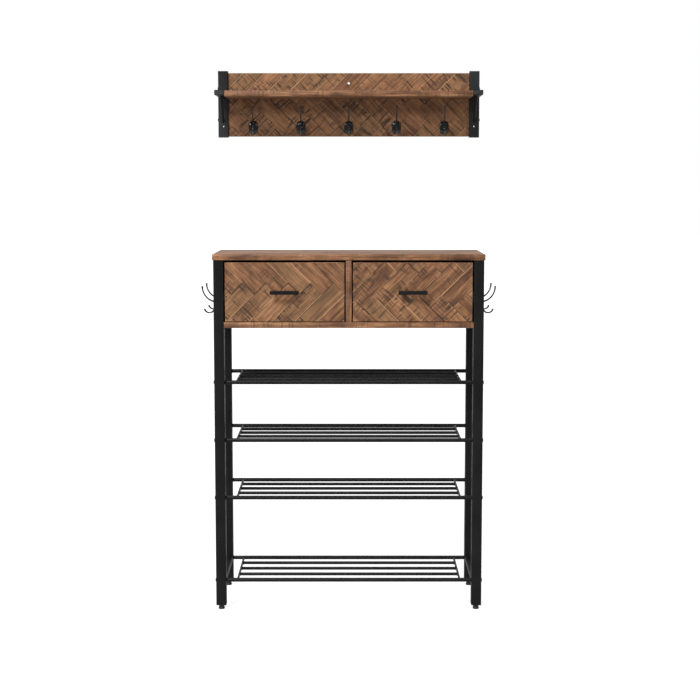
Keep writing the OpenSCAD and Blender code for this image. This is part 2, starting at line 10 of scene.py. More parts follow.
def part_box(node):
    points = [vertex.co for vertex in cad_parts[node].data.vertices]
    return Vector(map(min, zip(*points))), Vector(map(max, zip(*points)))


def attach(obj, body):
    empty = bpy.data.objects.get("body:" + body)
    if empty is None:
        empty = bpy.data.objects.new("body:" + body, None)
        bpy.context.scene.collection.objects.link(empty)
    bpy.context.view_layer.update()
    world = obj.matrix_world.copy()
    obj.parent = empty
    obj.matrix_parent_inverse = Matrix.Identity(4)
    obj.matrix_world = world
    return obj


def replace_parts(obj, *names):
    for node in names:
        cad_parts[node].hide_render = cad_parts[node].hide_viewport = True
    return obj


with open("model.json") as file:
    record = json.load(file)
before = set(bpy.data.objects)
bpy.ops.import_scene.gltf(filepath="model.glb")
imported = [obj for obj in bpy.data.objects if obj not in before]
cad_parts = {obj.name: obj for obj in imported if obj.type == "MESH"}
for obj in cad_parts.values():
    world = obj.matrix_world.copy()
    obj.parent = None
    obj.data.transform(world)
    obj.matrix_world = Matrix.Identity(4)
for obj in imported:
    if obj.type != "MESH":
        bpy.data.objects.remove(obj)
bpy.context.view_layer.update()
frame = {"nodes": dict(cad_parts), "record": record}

# Looks of the hall tree, in metres: rustic herringbone fronts, brown boards,
# satin black tubes and rods, and glossy cast hooks.

MM = 0.001
ROOT_HALF = math.sqrt(0.5)
RIGHT_ANGLE = math.radians(90)
SAME_POINT = 1e-6
MERGE_DISTANCE = 1e-7
SIDE_OF = {"left": -1, "right": 1}
LEG_NODES = ["leg_front_left", "leg_front_right", "leg_back_left", "leg_back_right"]
RACK_NODES = ["rack_bottom", "rack_second", "rack_third", "rack_top"]
WALL_HOOK_NODES = [f"wall_hook_{number}" for number in range(1, 6)]
SIDE_HOOK_NODES = [
    f"side_hook_{side}_{place}" for side in SIDE_OF for place in ("front", "back")
]

# Tubes and boards
TUBE_WALL = 1.5 * MM
TUBE_CORNER = 2.5 * MM
TUBE_CORNER_STEPS = 5
PLUG_GAP = 0.05 * MM
PLUG_DEPTH = 10 * MM
PLUG_CORNER = 1 * MM
GLIDE_R = 10 * MM
GLIDE_RIM = 1.8 * MM
GLIDE_RIM_STEPS = 4
GLIDE_FLANGE_H = 5 * MM
GLIDE_NECK_R = 8.8 * MM
GLIDE_NECK_Z = 6.4 * MM
GLIDE_JOIN = 1 * MM
BOARD_EDGE = 0.8 * MM
BOARD_EDGE_STEPS = 2
TOP_EDGE = 1.2 * MM
SHARP_ANGLE = math.radians(38)

# Herringbone planks.  A pattern's start is the lower left end of a rising plank,
# given from the lower left corner of the face that it covers.  Painted light is added to
# each plank's tone, which is drawn from 0 to 1: the panel's planks are painted paler
# for the stronger light on the wall unit.
PLANK_CELLS = 3
FRONT_PLANK_W = 50 * MM
PANEL_PLANK_W = 49 * MM
FRONT_PAINTED_LIGHT = 0.0
PANEL_PAINTED_LIGHT = 0.9
LEFT_START = (21 * MM, 15 * MM)
RIGHT_START = (-7 * MM, 82 * MM)
PANEL_START = (51 * MM, -70 * MM)
GROOVE_DEPTH = 0.45 * MM
GROOVE_HALF_W = 0.55 * MM
FACE_BORDER = 0.9 * MM
FRONT_NORMAL_Y = -0.5
EDGE_END_SHARE = 1e-4
LEAST_CORNER_SHARE = 0.25
PANEL_HOLE_D = 8 * MM
FAR = 1.0
BOARD_NODES = [
    "top_board", "divider", "wall_shelf", "side_panel_left", "side_panel_right", "bottom_board",
]
FIRST_PATTERN_SEED = 11
FIRST_GRAIN_SEED = 21
FIRST_BOARD_SEED = 31

# Screws, bolts and holes
HOLE_STEPS = 40
DRILL_OVERRUN = 1 * MM
BOLT_HOLE_D = 6.1 * MM
ACCESS_HOLE_D = 11 * MM
WALL_HOLE_D = 6 * MM
WALL_HOLE_RISE = 36 * MM
SINK_HOLE_D = 8.5 * MM
SINK_DEPTH = 3 * MM
HOOK_BOLT_OFFSET = 10 * MM
ARM_SCREW_INSET = 30 * MM
BOLT_HEAD_R = 6 * MM
BOLT_HEAD_H = 3 * MM
BOLT_D = 6 * MM
SOCKET_R = 2.3 * MM
SOCKET_DEPTH = 1.8 * MM
BOLT_STEPS = 24
DOME_STEPS = 5
HEAD_FLAT_SHARE = 0.62
HEAD_RIM_SHARE = 0.35
HEXAGON_SIDE = math.radians(60)
RACK_BOLT_L = 47 * MM
PANEL_SCREW_HEAD_R = 5 * MM
PANEL_SCREW_HEAD_H = 2.5 * MM
PANEL_SCREW_D = 5 * MM
PANEL_SCREW_L = 57 * MM

# Drawer handles.  The flare is (radius, height above the front) up a post.
HANDLE_BAR_T = 8 * MM
HANDLE_EDGE = 1.3 * MM
HANDLE_EDGE_STEPS = 3
POST_R = 4 * MM
POST_INSET = 13 * MM
POST_FLARE = [(5.2 * MM, 0), (5.2 * MM, 0.8 * MM), (4.5 * MM, 2.0 * MM), (POST_R, 3.6 * MM)]

# Welds on the racks
CROSS_BAR_R = 3.5 * MM
CROSS_BAR_INSET = 36 * MM
INNER_ROD_R = 5 * MM
INNER_RODS = 3
OUTER_ROD_R = 6.35 * MM
WELD_R = 1.1 * MM
WELD_STEPS = 32
WELD_SIDES = 8
WELD_RIPPLES = 8
RIPPLE_SHARE = 0.18

# Coat hooks.  Centres are (out from the board, up from the plate's middle), the boss
# is (in from the plate's outline, out from the board), and arcs are in degrees.
PLATE_W = 29 * MM
PLATE_H = 44 * MM
PLATE_T = 3 * MM
BOSS_T = 2.5 * MM
BOSS_INSET = 4 * MM
PLATE_ROUND = 1.2 * MM
PLATE_STEPS = 20
BOSS_PROFILE = [
    (BOSS_INSET - 0.6 * MM, PLATE_T + 0.2 * MM),
    (BOSS_INSET, PLATE_T + 1.0 * MM),
    (BOSS_INSET + 1.2 * MM, PLATE_T + BOSS_T - 0.6 * MM),
    (BOSS_INSET + 3.4 * MM, PLATE_T + BOSS_T),
]
PLATE_CORNER_SHARE = 0.3
PRONG_R = 2.3 * MM
PRONG_BASE_R = 2.9 * MM
TIP_R = 3.2 * MM
UPPER_CENTRE = (-5.6 * MM, 65.3 * MM)
UPPER_R = 48 * MM
UPPER_ARC = (-84, 0)
LOWER_CENTRE = (20.5 * MM, -1.5 * MM)
LOWER_R = 15.7 * MM
LOWER_ARC = (-180, -21)
RIB_OUT = 4.5 * MM
RIB_SPAN = (3 * MM, 18 * MM)
PRONG_STEPS = 16
CAST_VOXEL = 0.6 * MM
CAST_SMOOTHING = 2
CLUB_L = 13 * MM
CLUB_SHARE = 0.75
STATION_STEP = 1.2 * MM
FEWEST_STATIONS = 24
CAP_STEPS = 6
CAP_TURN = math.radians(86)

# Lights as (name, direction towards the light, strength, spread in degrees)
SUNS = [
    ("key", (-0.40, -0.80, 0.95), 3.0, 20),
    ("left_fill", (-0.80, -1.0, 0.35), 0.75, 9),
    ("right_fill", (0.90, -0.80, 0.30), 0.25, 8),
]
FLOOR_SIZE = 60
FLOOR_LIGHT = 0.20
FLOOR_SEEN = 0.86
WORLD_SEEN = 1.0
ROOM_IN_FRONT = 0.16
ROOM_BEHIND = 0.85
ROOM_BLEND = (-0.3, 0.6)

# Camera, in metres, millimetres of lens and degrees below level
SENSOR_W = 36.0
LENS = 71.9
SHIFT_Y = -0.04
CAMERA_X = 4 * MM
CAMERA_FROM_WALL = 4.639
CAMERA_Z = 1.359
CAMERA_TILT = 5.746
CAMERA_REACH = 100.0


# ------------------------------------------------------------------ materials

# Colours are linear.  Tones are a ramp's (position, colour) stops, and a pair of
# colours is the darker and the lighter end of one finish.
WOOD_TONES = [
    (0.37, (0.080, 0.030, 0.012)),
    (0.45, (0.180, 0.076, 0.032)),
    (0.54, (0.305, 0.140, 0.061)),
    (0.63, (0.440, 0.219, 0.100)),
]
OLIVE = (0.225, 0.140, 0.060, 1)
DARK_FIBRE = (0.09, 0.045, 0.024, 1)
SAW_MARK = (0.060, 0.030, 0.015, 1)
KNOT = (0.045, 0.024, 0.015, 1)
# Painted highlight and painted shade for the plank seams.
SEAM_HIGHLIGHT = (0.56, 0.31, 0.155, 1)
SEAM_SHADE = (0.025, 0.013, 0.008, 1)
PLAIN_BOARD_TONES = [
    (0.32, (0.120, 0.064, 0.034)),
    (0.50, (0.210, 0.122, 0.070)),
    (0.68, (0.300, 0.185, 0.110)),
]
BLACK_STEEL = ((0.004, 0.004, 0.0042, 1), (0.008, 0.008, 0.0085, 1))
# The uprights' satin black, painted lighter than the legs' for the stronger light on the wall
# unit.
LIT_UPRIGHT_STEEL = ((0.016, 0.0165, 0.018, 1), (0.028, 0.029, 0.031, 1))
STEEL_GRIT = (0.028, 0.028, 0.030, 1)
LACQUER = ((0.003, 0.003, 0.003, 1), (0.006, 0.006, 0.0065, 1))
# Zinc painted dark, standing in for the shade on the runner ends in the drawer gaps.
ZINC_PAINTED_DARK = ((0.17, 0.17, 0.18, 1), (0.27, 0.27, 0.28, 1))
PLASTIC = ((0.013, 0.013, 0.014, 1), (0.023, 0.023, 0.024, 1))
FLOOR_GREY = ((0.30, 0.30, 0.30, 1), (0.33, 0.33, 0.33, 1))


class Graph:
    """A material's node tree, with a short call for each kind of node it uses."""

    def __init__(self, name):
        self.material = bpy.data.materials.new(name)
        self.material.use_nodes = True
        self.tree = self.material.node_tree
        self.shader = self.tree.nodes["Principled BSDF"]

    def node(self, kind, **settings):
        made = self.tree.nodes.new("ShaderNode" + kind)
        for key, value in settings.items():
            setattr(made, key, value)
        return made

    def feed(self, socket, value):
        if isinstance(value, bpy.types.NodeSocket):
            self.tree.links.new(value, socket)
        else:
            socket.default_value = value

    def maths(self, operation, a, b):
        made = self.node("Math", operation=operation)
        self.feed(made.inputs[0], a)
        self.feed(made.inputs[1], b)
        return made.outputs[0]

    def attribute(self, name):
        return self.node("Attribute", attribute_name=name)

    def place(self):
        return self.node("TexCoord").outputs["Object"]

    def parts(self, vector):
        made = self.node("SeparateXYZ")
        self.feed(made.inputs[0], vector)
        return made.outputs

    def scaled(self, vector, scale):
        made = self.node("VectorMath", operation="MULTIPLY")
        self.feed(made.inputs[0], vector)
        self.feed(made.inputs[1], scale)
        return made.outputs[0]

    def moved(self, vector, offset):
        made = self.node("VectorMath", operation="ADD")
        self.feed(made.inputs[0], vector)
        self.feed(made.inputs[1], offset)
        return made.outputs[0]

    def noise(self, vector, scale, detail, roughness=0.5, output="Fac"):
        made = self.node("TexNoise")
        self.feed(made.inputs["Vector"], vector)
        made.inputs["Scale"].default_value = scale
        made.inputs["Detail"].default_value = detail
        made.inputs["Roughness"].default_value = roughness
        return made.outputs[output]

    def spread(self, value, low, high, to_low=0.0, to_high=1.0):
        made = self.node("MapRange", interpolation_type="SMOOTHSTEP")
        self.feed(made.inputs["Value"], value)
        made.inputs["From Min"].default_value = low
        made.inputs["From Max"].default_value = high
        made.inputs["To Min"].default_value = to_low
        made.inputs["To Max"].default_value = to_high
        return made.outputs[0]

    def ramp(self, value, stops):
        made = self.node("ValToRGB")
        self.feed(made.inputs[0], value)
        elements = made.color_ramp.elements
        while len(elements) < len(stops):
            elements.new(0.5)
        for element, (position, colour) in zip(elements, stops):
            element.position = position
            element.color = (*colour, 1)
        return made.outputs[0]

    def mix(self, factor, a, b):
        made = self.node("Mix", data_type="RGBA")
        self.feed(made.inputs[0], factor)
        self.feed(made.inputs[6], a)
        self.feed(made.inputs[7], b)
        return made.outputs[2]

    def bump(self, height, distance, strength):
        made = self.node("Bump")
        self.feed(made.inputs["Height"], height)
        made.inputs["Distance"].default_value = distance
        made.inputs["Strength"].default_value = strength
        self.feed(self.shader.inputs["Normal"], made.outputs[0])

    def finish(self, colour, roughness):
        self.feed(self.shader.inputs["Base Color"], colour)
        self.feed(self.shader.inputs["Roughness"], roughness)
        return self.material


def rustic_wood():
    """Brown boards and planks: long grain, cross saw marks, knots, and painted shade and painted
    highlight along the plank seams.

    Each triple scales a noise along the grain and across it, so low then high numbers
    give long thin marks, and high then low numbers give marks across the plank.
    """
    g = Graph("rustic_wood")
    grain = g.attribute("grain").outputs["Vector"]
    tone, saw_share, warmth = g.parts(g.attribute("plank").outputs["Vector"])
    seams = g.attribute("seams")

    waver = g.noise(g.scaled(grain, (9, 30, 30)), 1.0, 2.0, output="Color")
    bent = g.moved(grain, g.scaled(waver, (0, 0.012, 0.012)))
    streaks = g.noise(g.scaled(bent, (7, 125, 125)), 1.0, 4.0, 0.70)
    fibres = g.noise(g.scaled(bent, (24, 420, 420)), 1.0, 4.0, 0.65)
    clouds = g.noise(g.scaled(grain, (12, 26, 26)), 1.0, 3.0)
    knots = g.spread(g.noise(g.scaled(bent, (16, 55, 55)), 1.0, 2.0), 0.68, 0.80)

    base = g.maths("ADD", g.maths("MULTIPLY", streaks, 0.62), g.maths("MULTIPLY", clouds, 0.38))
    base = g.maths("ADD", base, g.maths("MULTIPLY", g.maths("SUBTRACT", tone, 0.5), 0.05))
    colour = g.ramp(base, WOOD_TONES)
    olive = g.mix(0.28, colour, OLIVE)
    colour = g.mix(g.spread(warmth, 0.55, 0.85), colour, olive)
    colour = g.mix(g.spread(fibres, 0.42, 0.68, 0.0, 0.55), colour, DARK_FIBRE)

    saw_lines = g.noise(g.scaled(grain, (210, 14, 14)), 1.0, 1.5)
    saw_field = g.spread(g.noise(g.scaled(grain, (22, 22, 22)), 1.0, 1.0), 0.38, 0.52)
    saw = g.maths("MULTIPLY", g.spread(saw_lines, 0.52, 0.585), saw_field)
    saw = g.maths("MULTIPLY", saw, g.spread(saw_share, 0.05, 0.65, 0.2, 1.0))
    colour = g.mix(g.maths("MULTIPLY", saw, 0.95), colour, SAW_MARK)
    colour = g.mix(g.maths("MULTIPLY", knots, 0.8), colour, KNOT)

    near_shaded_side, near_lit_side, near_end = g.parts(seams.outputs["Vector"])
    patchy = g.spread(g.noise(g.scaled(grain, (18, 18, 18)), 1.0, 1.0), 0.34, 0.52)
    # Painted shade: a patchy dark band along one side of each plank seam and at the plank ends.
    dark = g.spread(near_shaded_side, 0.4 * MM, 3.4 * MM, 1.0, 0.0)
    ends = g.spread(g.maths("MINIMUM", near_end, seams.outputs["Alpha"]), 0.0, 2.6 * MM, 1.0, 0.0)
    # Painted highlight: a light line along the other side of each plank seam.
    light = g.spread(near_lit_side, 0.3 * MM, 3.0 * MM, 1.0, 0.0)
    dark = g.maths("MULTIPLY", g.maths("MAXIMUM", dark, ends), patchy)
    light = g.maths("MULTIPLY", light, g.spread(warmth, 0.1, 0.7, 0.25, 0.9))
    colour = g.mix(light, colour, SEAM_HIGHLIGHT)
    colour = g.mix(g.maths("MULTIPLY", dark, 0.95), colour, SEAM_SHADE)

    relief = g.maths("SUBTRACT", g.maths("ADD", streaks, g.maths("MULTIPLY", fibres, 0.5)),
                     g.maths("MULTIPLY", saw, 0.9))
    g.bump(relief, 0.25 * MM, 0.6)
    g.shader.inputs["Specular IOR Level"].default_value = 0.42
    return g.finish(colour, g.spread(streaks, 0.3, 0.7, 0.62, 0.46))


def drawer_board():
    """The plain boards inside the drawers and behind them, with a level grain."""
    g = Graph("drawer_board")
    place = g.place()
    streaks = g.noise(g.scaled(place, (12, 12, 260)), 1.0, 4.0, 0.6)
    flecks = g.noise(g.scaled(place, (900, 900, 1400)), 1.0, 2.0)
    base = g.maths("ADD", g.maths("MULTIPLY", streaks, 0.8), g.maths("MULTIPLY", flecks, 0.2))
    colour = g.ramp(base, PLAIN_BOARD_TONES)
    g.bump(base, 0.12 * MM, 0.5)
    return g.finish(colour, g.spread(streaks, 0.3, 0.7, 0.66, 0.52))


def satin_steel(name, low, high):
    """Satin powder coat over steel, with its fine orange peel."""
    g = Graph(name)
    place = g.place()
    peel = g.noise(place, 900.0, 2.0)
    grit = g.noise(place, 3600.0, 1.0)
    cloud = g.noise(place, 9.0, 3.0)
    worn = g.noise(place, 60.0, 4.0)
    colour = g.mix(g.spread(cloud, 0.3, 0.7), low, high)
    colour = g.mix(g.spread(grit, 0.62, 0.75, 0.0, 0.35), colour, STEEL_GRIT)
    g.shader.inputs["Specular IOR Level"].default_value = 0.22
    g.bump(g.maths("ADD", peel, g.maths("MULTIPLY", grit, 0.35)), 0.05 * MM, 0.7)
    return g.finish(colour, g.spread(worn, 0.35, 0.65, 0.36, 0.46))


def gloss_black():
    """The hooks' glossy lacquer, over a slightly uneven casting."""
    g = Graph("gloss_black")
    place = g.place()
    wave = g.noise(place, 160.0, 2.0)
    dust = g.noise(place, 1800.0, 2.0)
    colour = g.mix(g.spread(wave, 0.3, 0.7), *LACQUER)
    g.bump(wave, 0.25 * MM, 0.5)
    g.shader.inputs["Coat Weight"].default_value = 1.0
    g.shader.inputs["Coat Roughness"].default_value = 0.06
    g.shader.inputs["Specular IOR Level"].default_value = 0.3
    return g.finish(colour, g.spread(dust, 0.35, 0.7, 0.16, 0.28))


def zinc_plate():
    """Zinc painted dark all over, for the shade on the runner ends that show in the drawer gaps,
    with drawing marks along the runners.
    """
    g = Graph("zinc_plate")
    place = g.place()
    drawn = g.noise(g.scaled(place, (700, 14, 700)), 1.0, 3.0)
    spangle = g.noise(place, 210.0, 2.0)
    colour = g.mix(g.spread(spangle, 0.35, 0.65), *ZINC_PAINTED_DARK)
    g.bump(drawn, 0.04 * MM, 0.5)
    g.shader.inputs["Metallic"].default_value = 1.0
    return g.finish(colour, g.spread(drawn, 0.3, 0.7, 0.28, 0.44))


def black_plastic():
    """Moulded plastic with a fine spark texture."""
    g = Graph("black_plastic")
    place = g.place()
    spark = g.noise(place, 2200.0, 2.0)
    cloud = g.noise(place, 70.0, 2.0)
    colour = g.mix(g.spread(cloud, 0.3, 0.7), *PLASTIC)
    g.bump(spark, 0.06 * MM, 0.6)
    return g.finish(colour, g.spread(cloud, 0.3, 0.7, 0.50, 0.62))


MATERIALS = {
    "brown_wood": rustic_wood(),
    "drawer_board": drawer_board(),
    "black_steel": satin_steel("satin_black", *BLACK_STEEL),
    "black_gloss": gloss_black(),
    "zinc_steel": zinc_plate(),
    "black_plastic": black_plastic(),
}
# The uprights get a copy of the satin black painted lighter, for the stronger light that falls on
# them.
UPRIGHT_PAINTED_LIGHT_STEEL = satin_steel("satin_black_painted_lighter", *LIT_UPRIGHT_STEEL)
SLOT_OF = {part["node"]: part["material_slot"] for part in frame["record"]["subparts"]}
BODY_OF = {
    node: body
    for body, members in frame["record"]["behaviour"]["bodies"].items()
    for node in members
}


# ------------------------------------------------------------- mesh helpers


def mesh_from(bm, name):
    """Ends a bmesh as a mesh with outward faces, smooth up to the sharp angle."""
    bmesh.ops.remove_doubles(bm, verts=bm.verts, dist=MERGE_DISTANCE)
    bmesh.ops.recalc_face_normals(bm, faces=bm.faces)
    mesh = bpy.data.meshes.new(name)
    bm.to_mesh(mesh)
    bm.free()
    smooth(mesh)
    return mesh


def smooth(mesh):
    mesh.polygons.foreach_set("use_smooth", [True] * len(mesh.polygons))
    mesh.set_sharp_from_angle(angle=SHARP_ANGLE)


def placed(mesh, name, node):
    """A piece made of a mesh, on a node's body and in the node's finish."""
    piece = bpy.data.objects.new(name, mesh)
    bpy.context.scene.collection.objects.link(piece)
    if not mesh.materials:
        mesh.materials.append(MATERIALS[SLOT_OF[node]])
    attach(piece, BODY_OF[node])
    return piece


def show(mesh, node):
    """Shows a mesh in place of a CAD node."""
    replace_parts(placed(mesh, node + "_detail", node), node)


def size_and_middle(node):
    low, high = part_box(node)
    return high - low, (low + high) / 2


def along(direction):
    """The turn that takes +Z to a direction."""
    return Vector((0, 0, 1)).rotation_difference(Vector(direction)).to_matrix().to_4x4()


def rounded_box(low, high, radius, steps=BOARD_EDGE_STEPS):
    bm = bmesh.new()
    bmesh.ops.create_cube(bm, size=1.0)
    bmesh.ops.scale(bm, vec=high - low, verts=bm.verts)
    bmesh.ops.translate(bm, vec=(low + high) / 2, verts=bm.verts)
    bmesh.ops.bevel(bm, geom=bm.edges[:], offset=radius, segments=steps, profile=0.5,
                    affect="EDGES")
    return bm


def loop_of(bm, points):
    return [bm.verts.new(point) for point in points]


def bridge(bm, first, second):
    """Quads between two closed loops with as many points."""
    count = len(first)
    for index in range(count):
        following = (index + 1) % count
        bm.faces.new((first[index], first[following], second[following], second[index]))


def closed_skin(bm, loops):
    """Quads from each loop to the next, and a face over both ends."""
    for first, second in zip(loops, loops[1:]):
        bridge(bm, first, second)
    bm.faces.new(loops[0])
    bm.faces.new(loops[-1])


def circle_points(radius, height, steps):
    return [
        Vector((radius * math.cos(turn), radius * math.sin(turn), height))
        for turn in (2 * math.pi * index / steps for index in range(steps))
    ]


def turned(bm, profile, matrix, steps=HOLE_STEPS):
    """A closed turned shape about Z through the profile's (radius, height) points."""
    loops = [
        loop_of(bm, [matrix @ point for point in circle_points(radius, height, steps)])
        for radius, height in profile
    ]
    closed_skin(bm, loops)


def drill(mesh, holes):
    """Cuts round holes, each a (start, direction, length, diameter)."""
    bm = bmesh.new()
    for start, direction, length, diameter in holes:
        matrix = Matrix.Translation(start) @ along(direction)
        turned(bm, [(diameter / 2, 0), (diameter / 2, length)], matrix)
    return combined(mesh, mesh_from(bm, "holes"), "DIFFERENCE")


def combined(mesh, tool, operation):
    """The mesh after an exact boolean with a tool mesh."""
    owner = bpy.data.objects.new("owner", mesh)
    other = bpy.data.objects.new("tool", tool)
    for each in (owner, other):
        bpy.context.scene.collection.objects.link(each)
    modifier = owner.modifiers.new("cut", "BOOLEAN")
    modifier.operation = operation
    modifier.solver = "EXACT"
    modifier.object = other
    made = applied(owner)
    for each in (owner, other):
        bpy.data.objects.remove(each)
    return made


def applied(owner):
    """A new mesh of an object with its modifiers applied."""
    bpy.context.view_layer.update()
    graph = bpy.context.evaluated_depsgraph_get()
    made = bpy.data.meshes.new_from_object(owner.evaluated_get(graph))
    smooth(made)
    return made


# -------------------------------------------------------------------- wood


def write_wood(mesh, reader):
    """Writes the wood's attributes; reader gives them for a face and a corner."""
    kinds = {"grain": "FLOAT_VECTOR", "plank": "FLOAT_VECTOR", "seams": "FLOAT_COLOR"}
    for name, kind in kinds.items():
        mesh.attributes.new(name, kind, "CORNER")
    grain, plank, seams = (mesh.attributes[name] for name in kinds)
    for face in mesh.polygons:
        for corner in face.loop_indices:
            point = mesh.vertices[mesh.loops[corner].vertex_index].co
            grain_at, plank_at, seams_at = reader(face, point)
            grain.data[corner].vector = grain_at
            plank.data[corner].vector = plank_at
            seams.data[corner].color = seams_at


def board_reader(seed, axis):
    """Grain along one axis of a board, with no seams."""
    draw = random.Random(seed)
    offset = Vector((draw.uniform(0, 9), draw.uniform(0, 9), draw.uniform(0, 9)))
    looks = (draw.uniform(0.4, 0.6), draw.uniform(0.15, 0.35), draw.uniform(0.2, 0.5))
    order = [axis] + [other for other in range(3) if other != axis]

    def read(_face, point):
        return Vector([point[index] for index in order]) + offset, looks, (FAR, FAR, FAR, FAR)

    return read


def board_seed(node):
    return FIRST_BOARD_SEED + BOARD_NODES.index(node)


def board(node, axis, edge=BOARD_EDGE):
    """A plain board with rounded edges and its grain along an axis."""
    mesh = mesh_from(rounded_box(*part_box(node), edge), node)
    write_wood(mesh, board_reader(board_seed(node), axis))
    show(mesh, node)


class Herringbone:
    """Planks at 45 degrees on an upright face; u is to the right and v is up."""

    def __init__(self, node, start, plank_w, painted_light, seed):
        low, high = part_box(node)
        self.low = Vector((low.x, low.z))
        self.high = Vector((high.x, high.z))
        self.start = self.low + Vector(start)
        self.width = plank_w
        self.painted_light = painted_light
        self.seed = seed
        self.period = 2 * PLANK_CELLS

    def cells(self, point):
        """A point's place along the rising and the falling planks, in plank widths."""
        u, v = (point - self.start) / self.width
        return (u + v) * ROOT_HALF, (u - v) * ROOT_HALF

    def point(self, rise, fall):
        across = Vector((rise + fall, rise - fall)) * ROOT_HALF
        return self.start + across * self.width

    def plank_of(self, point):
        """(rises, first cell on each axis) of the plank that holds a point."""
        rise, fall = (math.floor(value) for value in self.cells(point))
        step = (rise - fall) % self.period
        if step < PLANK_CELLS:
            return True, rise - step, fall
        return False, rise, fall - (self.period - 1 - step)

    def planks(self):
        """Every plank's outline, clipped to the face inside its border."""
        border = Vector((FACE_BORDER, FACE_BORDER))
        low = self.low + border
        high = self.high - border
        reach = math.ceil((self.high - self.low).length / self.width) + 2 * self.period
        outlines = []
        for rise in range(-reach, reach):
            for fall in range(-reach, reach):
                step = (rise - fall) % self.period
                if step == 0:
                    size = (PLANK_CELLS, 1)
                elif step == self.period - 1:
                    size = (1, PLANK_CELLS)
                else:
                    continue
                corners = [(0, 0), (0, size[1]), (size[0], size[1]), (size[0], 0)]
                outline = [self.point(rise + a, fall + b) for a, b in corners]
                outline = clipped(outline, low, high)
                if len(outline) > 2:
                    outlines.append(outline)
        return outlines

    def reader(self, board_read):
        """Planks' attributes on the front, and the board's elsewhere."""
        limit = FACE_BORDER / 2

        def read(face, point):
            middle = Vector((face.center.x, face.center.z))
            inside = all(
                self.low[axis] + limit < middle[axis] < self.high[axis] - limit
                for axis in range(2)
            )
            if not inside or face.normal.y > FRONT_NORMAL_Y:
                return board_read(face, point)
            return self.plank_values(middle, Vector((point.x, point.z)), point.y)

        return read

    def plank_values(self, middle, point, depth):
        rises, rise_cell, fall_cell = self.plank_of(middle)
        draw = random.Random(f"{self.seed} {rises} {rise_cell} {fall_cell}")
        # The tone is lifted by the painted light, so the panel's planks are painted paler for the
        # stronger light on the wall unit.
        looks = (draw.random() + self.painted_light, draw.random(), draw.random())
        shift = Vector((draw.uniform(0, 9), draw.uniform(0, 9), draw.uniform(0, 9)))
        rise, fall = self.cells(point)
        rise -= rise_cell
        fall -= fall_cell
        length, across = (rise, fall) if rises else (fall, rise)
        grain = Vector((length * self.width, across * self.width, depth)) + shift
        sides = [across * self.width, (1 - across) * self.width]
        if draw.random() < 0.5:
            sides.reverse()
        ends = [length * self.width, (PLANK_CELLS - length) * self.width]
        return grain, looks, (*sides, *ends)


def clipped(outline, low, high):
    """A convex outline cut to a rectangle."""
    for axis in range(2):
        for limit, sign in ((low[axis], 1), (high[axis], -1)):
            kept = []
            for index, point in enumerate(outline):
                before = outline[index - 1]
                here = (point[axis] - limit) * sign
                there = (before[axis] - limit) * sign
                if here * there < 0:
                    kept.append(before.lerp(point, there / (there - here)))
                if here >= 0:
                    kept.append(point)
            outline = kept
    return without_repeats(outline)


def without_repeats(outline):
    return [
        point
        for index, point in enumerate(outline)
        if (point - outline[index - 1]).length > SAME_POINT
    ]


def with_neighbours(outline, others):
    """The outline with every neighbour's corner that lies on one of its edges."""
    made = []
    for index, start in enumerate(outline):
        end = outline[(index + 1) % len(outline)]
        run = end - start
        on_edge = []
        for point in others:
            share = (point - start).dot(run) / run.length_squared
            off_line = (start + run * share - point).length
            if EDGE_END_SHARE < share < 1 - EDGE_END_SHARE and off_line < SAME_POINT:
                on_edge.append((share, point))
        made.append(start)
        made.extend(point for _share, point in sorted(on_edge, key=lambda each: each[0]))
    return without_repeats(made)


def shrunk(outline, distance):
    """A convex outline moved inwards, by less where it is too small for that."""
    count = len(outline)
    middle = sum(outline, Vector((0, 0))) / count
    moved = []
    for index, point in enumerate(outline):
        before = (point - outline[index - 1]).normalized()
        after = (outline[(index + 1) % count] - point).normalized()
        normals = [Vector((-run.y, run.x)) for run in (before, after)]
        normals = [n if n.dot(middle - point) > 0 else -n for n in normals]
        bisector = (normals[0] + normals[1]).normalized()
        lean = max(bisector.dot(normals[0]), LEAST_CORNER_SHARE)
        moved.append(point + bisector * (distance / lean))
    kept = all(
        (moved[(index + 1) % count] - moved[index]).dot(
            outline[(index + 1) % count] - outline[index]) > 0
        for index in range(count)
    )
    return moved if kept else shrunk(outline, distance / 2)


def planked_face(number, node, start, plank_w, painted_light, holes=()):
    """A board whose front is planks with grooves between them."""
    low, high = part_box(node)
    pattern = Herringbone(node, start, plank_w, painted_light, FIRST_PATTERN_SEED + number)
    outlines = pattern.planks()
    corners = {}
    for outline in outlines:
        for point in outline:
            corners[(round(point.x, 6), round(point.y, 6))] = point
    bm = bmesh.new()
    verts = {}

    def groove_vert(point):
        key = (round(point.x, 6), round(point.y, 6))
        if key not in verts:
            verts[key] = bm.verts.new((point.x, low.y + GROOVE_DEPTH, point.y))
        return verts[key]

    for outline in outlines:
        outline = with_neighbours(outline, corners.values())
        edge = [groove_vert(point) for point in outline]
        top = [bm.verts.new((p.x, low.y, p.y)) for p in shrunk(outline, GROOVE_HALF_W)]
        bm.faces.new(top)
        bridge(bm, edge, top)
    close_board(bm, verts.values(), low, high)
    mesh = mesh_from(bm, node)
    if holes:
        mesh = drill(mesh, holes)
    write_wood(mesh, pattern.reader(board_reader(FIRST_GRAIN_SEED + number, 0)))
    show(mesh, node)


